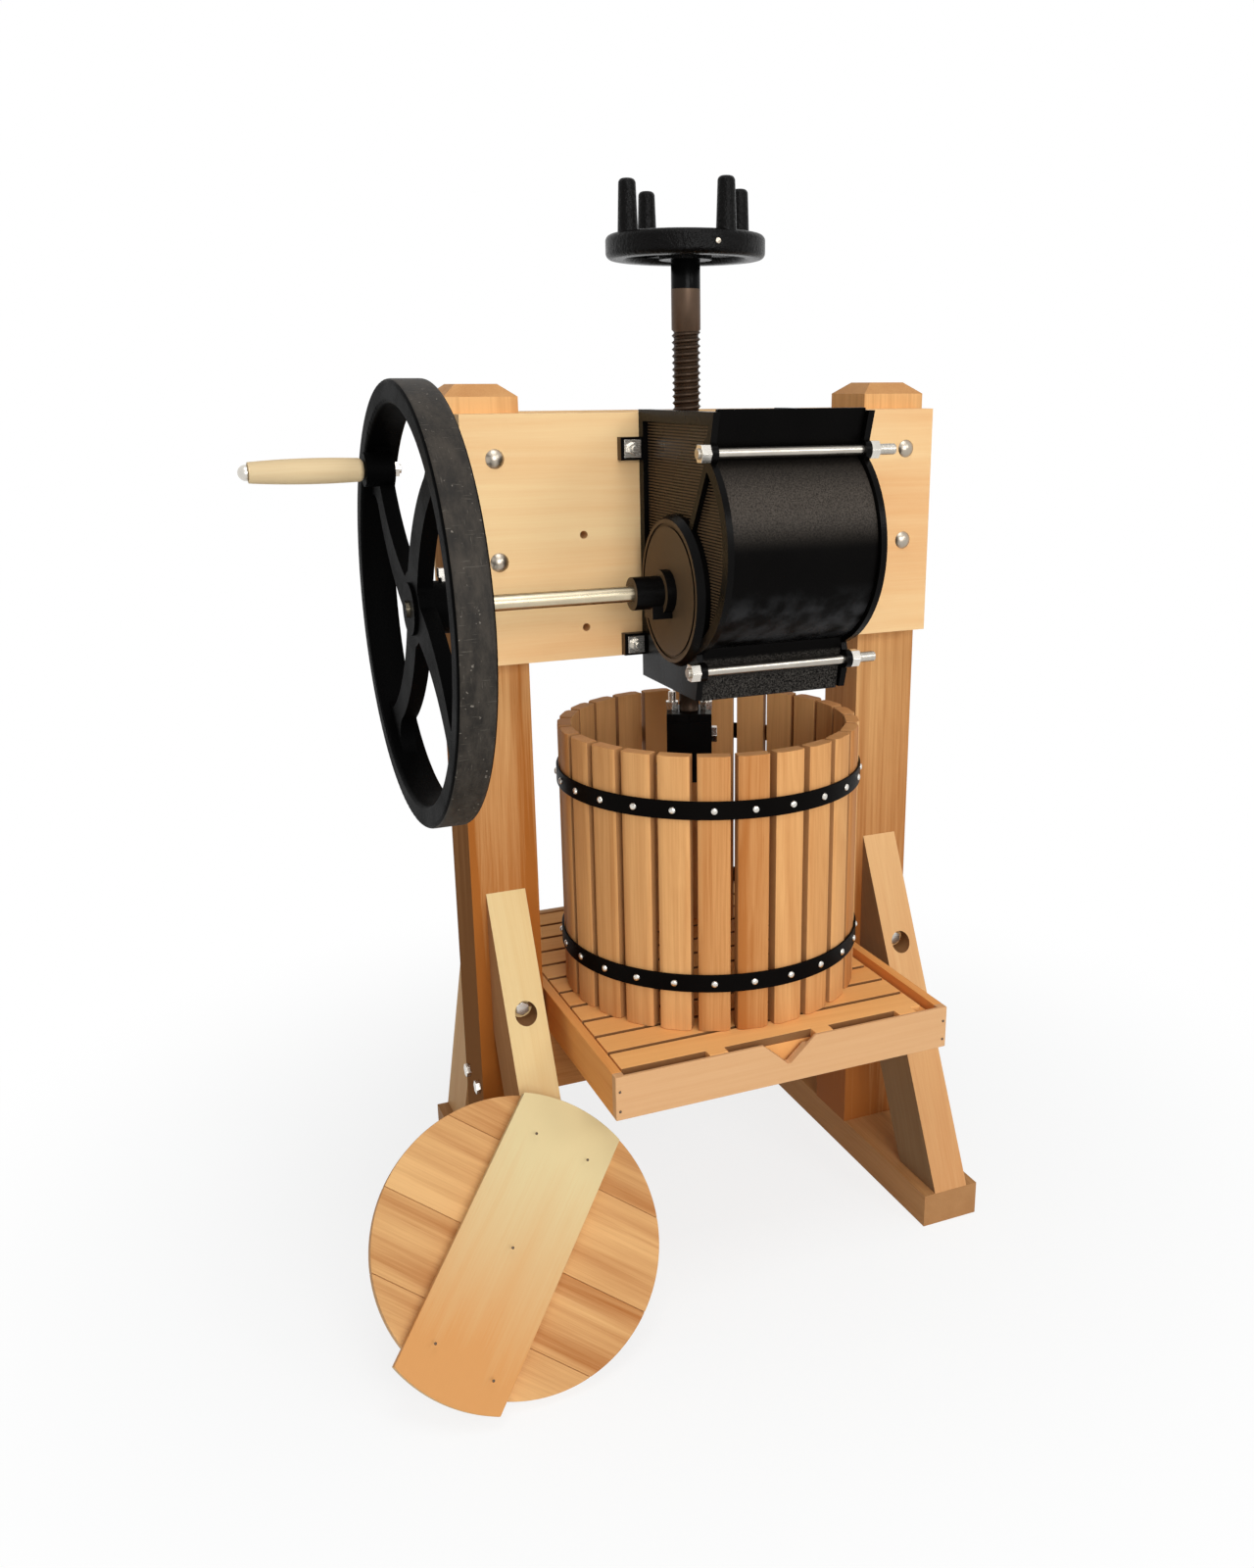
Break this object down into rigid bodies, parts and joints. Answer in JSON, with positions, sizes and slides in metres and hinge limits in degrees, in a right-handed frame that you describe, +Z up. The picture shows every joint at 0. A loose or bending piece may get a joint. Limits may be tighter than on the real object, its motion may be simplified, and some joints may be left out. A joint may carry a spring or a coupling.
{
  "type": "cider press",
  "caption": "Free-standing wooden cider press with a cast crank-turned fruit grinder, flywheel, press screw with pronged hand wheel, slatted tub, juice tray and loose pressing board.",
  "frame": {"origin": "point on the floor straight under the press screw, midway between the posts", "axes": "+X to the right along the header seen from the grinder side, +Y towards the rear, +Z up"},
  "size_m": [0.9298, 0.728, 1.431],
  "materials": {
    "light_maple": "satin oiled",
    "amber_hardwood": "satin oiled",
    "tray_wood": "satin oiled",
    "stave_wood": "satin oiled",
    "black_enamel": "gloss over rough casting",
    "dark_iron": "matte, lightly scuffed",
    "bright_steel": "bright",
    "screw_steel": "dark and oiled",
    "bronze": "machined"
  },
  "bodies": {
    "frame": {"left_foot": "amber_hardwood", "right_foot": "amber_hardwood", "left_post": "amber_hardwood", "right_post": "amber_hardwood", "left_front_brace": "light_maple", "left_rear_brace": "light_maple", "right_front_brace": "light_maple", "right_rear_brace": "light_maple", "front_header": "light_maple", "rear_header": "light_maple", "front_rail": "amber_hardwood", "rear_rail": "amber_hardwood", "header_bolts": "bright_steel", "header_nuts": "bright_steel", "brace_bolts": "bright_steel", "brace_nuts": "bright_steel", "rail_lags": "bright_steel", "foot_lags": "bright_steel", "tray_front_wall": "tray_wood", "tray_rear_wall": "tray_wood", "tray_left_wall": "tray_wood", "tray_right_wall": "tray_wood", "tray_floor": "tray_wood", "rack_slats": "tray_wood", "rack_runners": "tray_wood", "grinder_left_plate": "black_enamel", "grinder_right_plate": "black_enamel", "grinder_front_cover": "black_enamel", "tie_rods": "bright_steel", "tie_rod_nuts": "bright_steel", "grinder_mount_bolts": "bright_steel", "grinder_mount_washers": "bright_steel", "grinder_mount_nuts": "bright_steel", "left_bearing_bush": "bronze", "right_bearing_bush": "bronze", "screw_nut": "dark_iron", "screw_nut_bolts": "bright_steel"},
    "grinder_drive": {"drive_shaft": "bright_steel", "grinding_drum": "amber_hardwood", "drum_knives": "bright_steel", "drum_pins": "bright_steel", "flywheel": "dark_iron", "flywheel_set_screw": "bright_steel", "crank_bolt": "bright_steel", "crank_nut": "bright_steel"},
    "grip": {"crank_grip": "light_maple"},
    "press_foot_group": {"press_foot": "dark_iron", "foot_retainer": "dark_iron", "foot_studs": "bright_steel", "foot_nuts": "bright_steel", "foot_side_bolt": "bright_steel"},
    "press_screw_group": {"press_screw": "screw_steel", "screw_wheel": "black_enamel", "wheel_pin": "bright_steel"},
    "tub": {"tub_staves": "stave_wood", "tub_upper_hoop": "black_enamel", "tub_lower_hoop": "black_enamel"},
    "pressing_board": {"disc_boards": "amber_hardwood", "disc_cleat": "light_maple"}
  },
  "joints": [
    {"name": "flywheel_spin", "type": "hinge", "parent": "frame", "child": "grinder_drive", "pos_m": [-0.4165, -0.198, 0.945], "axis": [1, 0, 0], "continuous": true},
    {"name": "crank_grip_spin", "type": "hinge", "parent": "grinder_drive", "child": "grip", "pos_m": [-0.507, -0.05578, 1.09125], "axis": [1, 0, 0], "continuous": true},
    {"name": "press_slide", "type": "slide", "parent": "frame", "child": "press_foot_group", "axis": [0, 0, 1], "range_m": [-0.175, 0.06]},
    {"name": "screw_turn", "type": "hinge", "parent": "press_foot_group", "child": "press_screw_group", "pos_m": [0, 0, 1], "axis": [0, 0, 1], "range_deg": [-7450, 2560]},
    {"name": "tub_slide", "type": "slide", "parent": "frame", "child": "tub", "axis": [0, 1, 0], "range_m": [-0.02, 0.066]},
    {"name": "pressing_board_tip", "type": "hinge", "parent": "frame", "child": "pressing_board", "pos_m": [-0.3638, -0.38768, 0.0003], "axis": [1, 0, 0], "range_deg": [0, 12]}
  ],
  "couplings": [
    {"joint": "screw_turn", "follows": "press_slide", "rad_per_m": 742.08}
  ]
}
